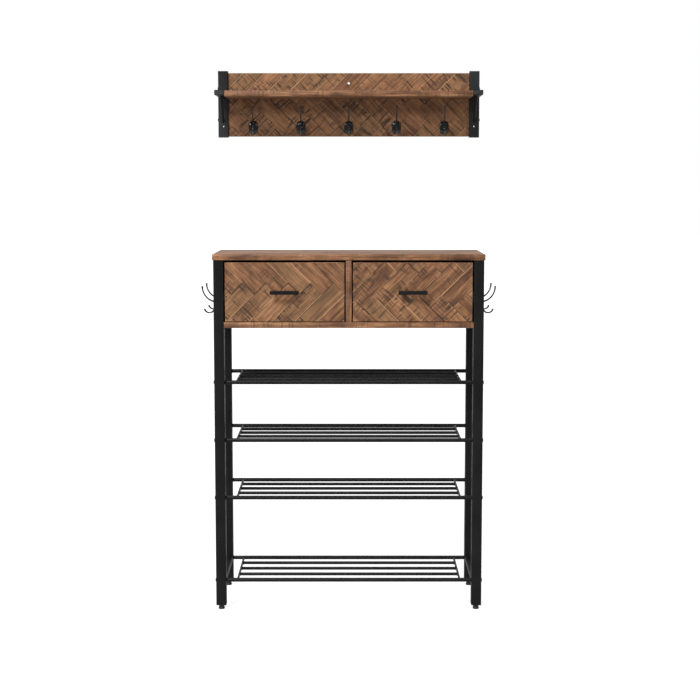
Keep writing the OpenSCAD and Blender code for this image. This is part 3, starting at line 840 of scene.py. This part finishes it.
def close_board(bm, face_verts, low, high):
    """Chamfers, sides and back round the planked front."""
    chamfer_y = low.y + GROOVE_DEPTH + FACE_BORDER
    ring = [(low.x, low.z), (high.x, low.z), (high.x, high.z), (low.x, high.z)]
    front = [bm.verts.new((x, chamfer_y, z)) for x, z in ring]
    back = [bm.verts.new((x, high.y, z)) for x, z in ring]
    inner = [
        (low.x + FACE_BORDER, low.z + FACE_BORDER),
        (high.x - FACE_BORDER, high.z - FACE_BORDER),
    ]
    face_verts = list(face_verts)
    sides = [(2, inner[0][1], 0, 1), (0, inner[1][0], 2, 1),
             (2, inner[1][1], 0, -1), (0, inner[0][0], 2, -1)]
    for index, (axis, limit, run, sign) in enumerate(sides):
        line = [vert for vert in face_verts if abs(vert.co[axis] - limit) < SAME_POINT]
        line.sort(key=lambda vert: vert.co[run] * sign)
        following = (index + 1) % 4
        bm.faces.new(line + [front[following], front[index]])
        bm.faces.new((front[index], front[following], back[following], back[index]))
    bm.faces.new(back)


def panel_holes():
    """The wall panel's hanging hole, and the sunk holes behind its hooks."""
    low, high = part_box("wall_panel")
    shelf_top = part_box("wall_shelf")[1].z
    start = (0, low.y - DRILL_OVERRUN, (shelf_top + high.z) / 2)
    holes = [(start, (0, 1, 0), high.y - low.y + 2 * DRILL_OVERRUN, PANEL_HOLE_D)]
    for node in WALL_HOOK_NODES:
        place = hook_place(node).translation
        for rise in (-HOOK_BOLT_OFFSET, HOOK_BOLT_OFFSET):
            start = Vector((place.x, high.y + DRILL_OVERRUN, place.z + rise))
            holes.append((start, (0, -1, 0), SINK_DEPTH + DRILL_OVERRUN, SINK_HOLE_D))
    return holes


def make_wood():
    """Every board that shows its rustic face."""
    planked_face(0, "drawer_left_front", LEFT_START, FRONT_PLANK_W, FRONT_PAINTED_LIGHT)
    planked_face(1, "drawer_right_front", RIGHT_START, FRONT_PLANK_W, FRONT_PAINTED_LIGHT)
    planked_face(2, "wall_panel", PANEL_START, PANEL_PLANK_W, PANEL_PAINTED_LIGHT, panel_holes())
    board("top_board", 0, TOP_EDGE)
    board("divider", 2)
    board("wall_shelf", 0)
    for side in SIDE_OF:
        board(f"side_panel_{side}", 2)
    bottom_board()


def bottom_board():
    """The board under the drawers, notched round the four legs."""
    low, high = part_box("bottom_board")
    legs = [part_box(node) for node in LEG_NODES]
    inner_x = min(abs(corner.x) for leg in legs for corner in leg)
    front_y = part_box("leg_front_left")[1].y
    back_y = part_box("leg_back_left")[0].y
    right = [
        (inner_x, low.y), (inner_x, front_y), (high.x, front_y),
        (high.x, back_y), (inner_x, back_y), (inner_x, high.y),
    ]
    outline = right + [(-x, y) for x, y in reversed(right)]
    bm = bmesh.new()
    closed_skin(bm, [loop_of(bm, [(x, y, z) for x, y in outline]) for z in (low.z, high.z)])
    bmesh.ops.bevel(bm, geom=bm.edges[:], offset=BOARD_EDGE, segments=BOARD_EDGE_STEPS,
                    profile=0.5, affect="EDGES")
    mesh = mesh_from(bm, "bottom_board")
    write_wood(mesh, board_reader(board_seed("bottom_board"), 0))
    show(mesh, "bottom_board")


# ------------------------------------------------------------------- metal


def rounded_outline(size_x, size_y, radius):
    """A rectangle with round corners about the middle, as (x, y) points."""
    points = []
    for quarter in range(4):
        turn = RIGHT_ANGLE * quarter
        middle = (
            (size_x / 2 - radius) * (1 if quarter in (0, 3) else -1),
            (size_y / 2 - radius) * (1 if quarter in (0, 1) else -1),
        )
        for step in range(TUBE_CORNER_STEPS + 1):
            angle = turn + RIGHT_ANGLE * step / TUBE_CORNER_STEPS
            points.append((middle[0] + radius * math.cos(angle),
                           middle[1] + radius * math.sin(angle)))
    return points


def tube(node, axis, holes=(), finish=None):
    """A drawn steel tube along an axis, with round corners and its drilled holes."""
    size, middle = size_and_middle(node)
    across = [index for index in range(3) if index != axis]
    outer = [size[index] for index in across]
    inner = [length - 2 * TUBE_WALL for length in outer]
    outlines = [
        rounded_outline(*outer, TUBE_CORNER),
        rounded_outline(*inner, TUBE_CORNER - TUBE_WALL),
    ]
    bm = bmesh.new()
    rings = []
    for outline in outlines:
        for end in (-0.5, 0.5):
            points = []
            for a, b in outline:
                point = middle.copy()
                point[axis] += end * size[axis]
                point[across[0]] += a
                point[across[1]] += b
                points.append(point)
            rings.append(loop_of(bm, points))
    for first, second in ((0, 1), (2, 3), (0, 2), (1, 3)):
        bridge(bm, rings[first], rings[second])
    mesh = mesh_from(bm, node)
    if holes:
        mesh = drill(mesh, holes)
    if finish:
        mesh.materials.append(finish)
    show(mesh, node)


def make_tubes():
    """The legs, the lowest side rails, the uprights and the shelf arms."""
    for node in LEG_NODES:
        make_leg(node)
    for side in SIDE_OF:
        tube(f"side_rail_{side}", 1)
        make_upright(f"upright_{side}")
        make_arm(f"arm_{side}")


def make_leg(node):
    """A leg with its rack bolt holes, and the case screw's access hole on the outside."""
    size, middle = size_and_middle(node)
    side = math.copysign(1, middle.x)
    inside = middle.x - side * size.x
    holes = [
        ((inside, middle.y, size_and_middle(rack)[1].z), (side, 0, 0), 2 * size.x, BOLT_HOLE_D)
        for rack in RACK_NODES
    ]
    board_z = size_and_middle("bottom_board")[1].z
    holes.append(((middle.x, middle.y, board_z), (side, 0, 0), size.x, ACCESS_HOLE_D))
    tube(node, 2, holes)


def make_upright(node):
    """An upright of the wall unit with its wall screw hole, in the satin black painted lighter for
    the stronger light on the uprights.
    """
    size, middle = size_and_middle(node)
    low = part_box(node)[0]
    start = (middle.x, low.y - DRILL_OVERRUN, low.z + WALL_HOLE_RISE)
    hole = (start, (0, 1, 0), size.y + 2 * DRILL_OVERRUN, WALL_HOLE_D)
    tube(node, 2, [hole], UPRIGHT_PAINTED_LIGHT_STEEL)


def make_arm(node):
    """An arm with the two holes that its hidden screws go in through."""
    size, middle = size_and_middle(node)
    low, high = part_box(node)
    side = math.copysign(1, middle.x)
    holes = [
        ((middle.x, y, middle.z), (side, 0, 0), size.x, ACCESS_HOLE_D)
        for y in (low.y + ARM_SCREW_INSET, high.y - ARM_SCREW_INSET)
    ]
    tube(node, 1, holes)


def socket_bolt(bm, matrix, head_r, head_h, shank_r, length):
    """A low domed bolt with a hexagon socket; its shank runs along +Z from 0."""
    flat_r = HEAD_FLAT_SHARE * head_r
    rim_h = HEAD_RIM_SHARE * head_h
    profile = [(shank_r, length), (shank_r, 0), (head_r, 0), (head_r, -rim_h)]
    for step in range(1, DOME_STEPS + 1):
        turn = RIGHT_ANGLE * step / DOME_STEPS
        radius = flat_r + (head_r - flat_r) * math.cos(turn)
        profile.append((radius, -rim_h - (head_h - rim_h) * math.sin(turn)))
    outlines = [circle_points(radius, height, BOLT_STEPS) for radius, height in profile]
    outlines += [hexagon_points(SOCKET_R, depth) for depth in (-head_h, SOCKET_DEPTH - head_h)]
    closed_skin(bm, [loop_of(bm, [matrix @ point for point in line]) for line in outlines])


def hexagon_points(corner_r, height):
    """A hexagon's outline, with as many points as a bolt's circles."""
    points = []
    for point in circle_points(1.0, height, BOLT_STEPS):
        turn = math.atan2(point.y, point.x) % HEXAGON_SIDE - HEXAGON_SIDE / 2
        reach = corner_r * math.cos(HEXAGON_SIDE / 2) / math.cos(turn)
        points.append(Vector((point.x * reach, point.y * reach, height)))
    return points


def bolt_place(node, z):
    """A height on a leg's or an upright's outer face, with +Z pointing inwards."""
    size, middle = size_and_middle(node)
    side = math.copysign(1, middle.x)
    start = Vector((middle.x + side * size.x / 2, middle.y, z))
    return Matrix.Translation(start) @ along((-side, 0, 0))


def make_bolts():
    """The rack bolts and the panel screws, whose heads show on the outer faces."""
    bm = bmesh.new()
    for node in LEG_NODES:
        for rack in RACK_NODES:
            place = bolt_place(node, size_and_middle(rack)[1].z)
            socket_bolt(bm, place, BOLT_HEAD_R, BOLT_HEAD_H, BOLT_D / 2, RACK_BOLT_L)
    show(mesh_from(bm, "rack_bolts"), "rack_bolts")

    bm = bmesh.new()
    low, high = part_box("panel_screws")
    for side in SIDE_OF:
        for z in (low.z + PANEL_SCREW_HEAD_R, high.z - PANEL_SCREW_HEAD_R):
            socket_bolt(bm, bolt_place(f"upright_{side}", z), PANEL_SCREW_HEAD_R,
                        PANEL_SCREW_HEAD_H, PANEL_SCREW_D / 2, PANEL_SCREW_L)
    show(mesh_from(bm, "panel_screws"), "panel_screws")


def make_handles():
    """A soft-edged bar on two posts that flare where they meet the front."""
    for side in SIDE_OF:
        node = f"drawer_{side}_handle"
        low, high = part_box(node)
        bar_high = Vector((high.x, low.y + HANDLE_BAR_T, high.z))
        bar = mesh_from(rounded_box(low, bar_high, HANDLE_EDGE, HANDLE_EDGE_STEPS), node)
        profile = POST_FLARE + [(POST_R, high.y - low.y - HANDLE_BAR_T / 2)]
        bm = bmesh.new()
        for x in (low.x + POST_INSET, high.x - POST_INSET):
            foot = Vector((x, high.y, (low.z + high.z) / 2))
            turned(bm, profile, Matrix.Translation(foot) @ along((0, -1, 0)))
        show(combined(bar, mesh_from(bm, "posts"), "UNION"), node)


def glide_profile(leg_low):
    """A foot's (radius, height) points, from the floor into its plug."""
    rim_middle = GLIDE_R - GLIDE_RIM
    profile = [(rim_middle, 0)]
    for step in range(1, GLIDE_RIM_STEPS + 1):
        turn = RIGHT_ANGLE * step / GLIDE_RIM_STEPS
        profile.append((rim_middle + GLIDE_RIM * math.sin(turn),
                        GLIDE_RIM - GLIDE_RIM * math.cos(turn)))
    return profile + [(GLIDE_R, GLIDE_FLANGE_H), (GLIDE_NECK_R, GLIDE_NECK_Z),
                      (GLIDE_NECK_R, leg_low + GLIDE_JOIN)]


def make_glides():
    """Moulded feet with rounded rims, joined to the plugs that hold them in the legs."""
    feet = bmesh.new()
    plugs = bmesh.new()
    for node in LEG_NODES:
        size, middle = size_and_middle(node)
        leg_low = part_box(node)[0].z
        turned(feet, glide_profile(leg_low), Matrix.Translation((middle.x, middle.y, 0)))
        plug = size.x - 2 * TUBE_WALL - 2 * PLUG_GAP
        outline = rounded_outline(plug, plug, PLUG_CORNER)
        closed_skin(plugs, [
            loop_of(plugs, [(middle.x + a, middle.y + b, z) for a, b in outline])
            for z in (leg_low, leg_low + PLUG_DEPTH)
        ])
    show(combined(mesh_from(plugs, "glides"), mesh_from(feet, "feet"), "UNION"), "glides")


def make_welds():
    """Rippled weld beads round the ends of each rack's cross bars and rods."""
    low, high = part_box("rack_bottom")
    front_y = low.y + OUTER_ROD_R
    back_y = high.y - OUTER_ROD_R
    rod_gap = (back_y - front_y) / (INNER_RODS + 1)
    cross_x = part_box("leg_front_right")[0].x - CROSS_BAR_INSET
    for node in RACK_NODES:
        z = size_and_middle(node)[1].z
        bm = bmesh.new()
        for x in (-cross_x, cross_x):
            for y, step in ((front_y, 1), (back_y, -1)):
                ripple_ring(bm, (x, y + step * OUTER_ROD_R, z), (0, step, 0), CROSS_BAR_R)
            inward = -math.copysign(1, x)
            for number in range(1, INNER_RODS + 1):
                place = (x + inward * CROSS_BAR_R, front_y + number * rod_gap, z)
                ripple_ring(bm, place, (inward, 0, 0), INNER_ROD_R)
        name = node + "_welds"
        placed(mesh_from(bm, name), name, node)


def ripple_ring(bm, place, direction, radius):
    """A closed ring of weld about a direction, thicker and thinner by turns."""
    matrix = Matrix.Translation(place) @ along(direction)
    loops = []
    for step in range(WELD_STEPS):
        turn = 2 * math.pi * step / WELD_STEPS
        thick = WELD_R * (1 + RIPPLE_SHARE * math.sin(WELD_RIPPLES * turn))
        points = []
        for side in range(WELD_SIDES):
            angle = 2 * math.pi * side / WELD_SIDES
            reach = radius + thick * math.cos(angle)
            points.append(matrix @ Vector((reach * math.cos(turn), reach * math.sin(turn),
                                           thick * math.sin(angle))))
        loops.append(loop_of(bm, points))
    for step in range(WELD_STEPS):
        bridge(bm, loops[step], loops[(step + 1) % WELD_STEPS])


# ------------------------------------------------------------------- hooks


def hook_place(node):
    """Where a hook's plate is: -Y points out from the board, and +Z up."""
    low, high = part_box(node)
    middle = (low + high) / 2
    z = low.z + PLATE_H / 2
    if node.startswith("wall"):
        return Matrix.Translation((middle.x, high.y, z))
    side = math.copysign(1, middle.x)
    plane_x = low.x if side > 0 else high.x
    turn = Matrix.Rotation(RIGHT_ANGLE * side, 4, "Z")
    return Matrix.Translation((plane_x, middle.y, z)) @ turn


def obround(inset, out):
    """Points round the plate's outline, moved inwards and out from the board."""
    radius = PLATE_W / 2 - inset
    straight = (PLATE_H - PLATE_W) / 2
    points = []
    for step in range(2 * PLATE_STEPS):
        turn = math.pi * (step % PLATE_STEPS) / (PLATE_STEPS - 1)
        half = 1 if step < PLATE_STEPS else -1
        points.append(Vector((half * radius * math.cos(turn), -out,
                              half * (straight + radius * math.sin(turn)))))
    return points


def plate(bm):
    """The base plate with a rounded rim and a domed boss on it."""
    rim = PLATE_CORNER_SHARE * PLATE_ROUND
    profile = [
        (0, 0), (0, PLATE_T - PLATE_ROUND), (rim, PLATE_T - rim), (PLATE_ROUND, PLATE_T),
        *BOSS_PROFILE,
    ]
    closed_skin(bm, [loop_of(bm, obround(inset, out)) for inset, out in profile])


def prong_stations(centre, radius, arc):
    """(place, heading, radius) along a prong: a thicker foot, a club and a round end."""
    start, end = (math.radians(value) for value in arc)
    length = radius * (end - start)
    steps = max(FEWEST_STATIONS, int(length / STATION_STEP))
    stations = []
    for step in range(steps + 1):
        share = step / steps
        angle = start + (end - start) * share
        here = Vector((centre[0] + radius * math.cos(angle), centre[1] + radius * math.sin(angle)))
        heading = Vector((-math.sin(angle), math.cos(angle)))
        from_tip = length * (1 - share)
        thick = PRONG_R + (PRONG_BASE_R - PRONG_R) * (1 - share) ** 2
        if from_tip < CLUB_L:
            thick += CLUB_SHARE * (TIP_R - PRONG_R) * (1 - from_tip / CLUB_L)
        if from_tip < TIP_R:
            thick = max(thick, math.sqrt(TIP_R ** 2 - from_tip ** 2))
        stations.append((here, heading, thick))
    here, heading, _thick = stations[-1]
    for step in range(1, CAP_STEPS + 1):
        turn = CAP_TURN * step / CAP_STEPS
        stations.append((here + heading * TIP_R * math.sin(turn), heading, TIP_R * math.cos(turn)))
    return stations


def prong(bm, centre, radius, arc):
    """A round prong along an arc that starts in the plate."""
    loops = []
    for here, heading, thick in prong_stations(centre, radius, arc):
        side = Vector((heading.y, -heading.x))
        points = []
        for step in range(PRONG_STEPS):
            turn = 2 * math.pi * step / PRONG_STEPS
            flat = here + side * thick * math.cos(turn)
            points.append((thick * math.sin(turn), -flat.x, flat.y))
        loops.append(loop_of(bm, points))
    closed_skin(bm, loops)


def rib(bm):
    """The round-ended rib up the middle of the plate."""
    low, high = RIB_SPAN
    profile = []
    for step in range(CAP_STEPS + 1):
        turn = CAP_TURN * (1 - step / CAP_STEPS)
        profile.append((TIP_R * math.cos(turn), low - TIP_R * math.sin(turn)))
    profile += [(radius, low + high - height) for radius, height in reversed(profile)]
    turned(bm, profile, Matrix.Translation((0, -RIB_OUT, 0)), PRONG_STEPS)


def cast_hook():
    """One hook's mesh: its pieces melted together as one casting."""
    bm = bmesh.new()
    plate(bm)
    prong(bm, UPPER_CENTRE, UPPER_R, UPPER_ARC)
    prong(bm, LOWER_CENTRE, LOWER_R, LOWER_ARC)
    rib(bm)
    owner = bpy.data.objects.new("casting", mesh_from(bm, "casting"))
    bpy.context.scene.collection.objects.link(owner)
    remesh = owner.modifiers.new("melt", "REMESH")
    remesh.mode = "VOXEL"
    remesh.voxel_size = CAST_VOXEL
    soften = owner.modifiers.new("soften", "SMOOTH")
    soften.factor = 0.5
    soften.iterations = CAST_SMOOTHING
    made = applied(owner)
    bpy.data.objects.remove(owner)
    for vertex in made.vertices:
        vertex.co.y = min(vertex.co.y, 0)
    return made


def make_hooks():
    casting = cast_hook()
    for node in WALL_HOOK_NODES + SIDE_HOOK_NODES:
        mesh = casting.copy()
        mesh.transform(hook_place(node))
        smooth(mesh)
        show(mesh, node)


# ------------------------------------------------------------ light and view


def seen_strength(tree, unseen, seen):
    """A node with one strength for what the camera sees, and another for the light it gives."""
    path = tree.nodes.new("ShaderNodeLightPath")
    strength = tree.nodes.new("ShaderNodeMapRange")
    strength.inputs["To Min"].default_value = unseen
    strength.inputs["To Max"].default_value = seen
    tree.links.new(path.outputs["Is Camera Ray"], strength.inputs["Value"])
    return strength


def make_stage():
    """A pale floor and a bright room, with a soft key light from the upper left front."""
    bpy.ops.mesh.primitive_plane_add(size=FLOOR_SIZE)
    floor = bpy.context.object
    floor.name = "floor"
    g = Graph("pale_floor")
    colour = g.mix(g.noise(g.place(), 4.0, 2.0), *FLOOR_GREY)
    g.shader.inputs["Emission Color"].default_value = (1, 1, 1, 1)
    glow = seen_strength(g.tree, FLOOR_LIGHT, FLOOR_SEEN)
    g.feed(g.shader.inputs["Emission Strength"], glow.outputs[0])
    g.shader.inputs["Specular IOR Level"].default_value = 0.0
    floor.data.materials.append(g.finish(colour, 0.9))
    make_world()
    for name, toward, strength, spread in SUNS:
        sun(name, toward, strength, spread)


def make_world():
    """A bright wall behind the object, and a darker room in front of it."""
    world = bpy.data.worlds.new("studio")
    bpy.context.scene.world = world
    world.use_nodes = True
    tree = world.node_tree
    background = tree.nodes["Background"]
    background.inputs["Color"].default_value = (1, 1, 1, 1)
    direction = tree.nodes.new("ShaderNodeTexCoord").outputs["Generated"]
    parts = tree.nodes.new("ShaderNodeSeparateXYZ")
    tree.links.new(direction, parts.inputs[0])
    room = tree.nodes.new("ShaderNodeMapRange")
    room.interpolation_type = "SMOOTHSTEP"
    room.inputs["From Min"].default_value = ROOM_BLEND[0]
    room.inputs["From Max"].default_value = ROOM_BLEND[1]
    room.inputs["To Min"].default_value = ROOM_IN_FRONT
    room.inputs["To Max"].default_value = ROOM_BEHIND
    tree.links.new(parts.outputs["Y"], room.inputs["Value"])
    strength = seen_strength(tree, ROOM_IN_FRONT, WORLD_SEEN)
    tree.links.new(room.outputs[0], strength.inputs["To Min"])
    tree.links.new(strength.outputs[0], background.inputs["Strength"])


def sun(name, toward, strength, spread):
    light = bpy.data.lights.new(name, "SUN")
    light.energy = strength
    light.angle = math.radians(spread)
    lamp = bpy.data.objects.new(name, light)
    lamp.rotation_mode = "QUATERNION"
    lamp.rotation_quaternion = Vector(toward).to_track_quat("Z", "Y")
    bpy.context.scene.collection.objects.link(lamp)


def make_camera():
    """A long lens well back from the wall, looking slightly down."""
    camera = bpy.data.cameras.new("camera")
    camera.sensor_width = SENSOR_W
    camera.lens = LENS
    camera.shift_y = SHIFT_Y
    camera.clip_end = CAMERA_REACH
    holder = bpy.data.objects.new("camera", camera)
    wall_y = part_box("upright_left")[1].y
    holder.location = (CAMERA_X, wall_y - CAMERA_FROM_WALL, CAMERA_Z)
    holder.rotation_euler = (math.radians(90 - CAMERA_TILT), 0, 0)
    bpy.context.scene.collection.objects.link(holder)
    bpy.context.scene.camera = holder
    bpy.context.scene.view_settings.view_transform = "Standard"


def paint_cad_nodes():
    """The record's finish on every CAD node that is still shown."""
    for node, piece in frame["nodes"].items():
        for slot in piece.material_slots:
            slot.material = MATERIALS[SLOT_OF[node]]


paint_cad_nodes()
make_wood()
make_tubes()
make_bolts()
make_handles()
make_glides()
make_welds()
make_hooks()
make_stage()
make_camera()
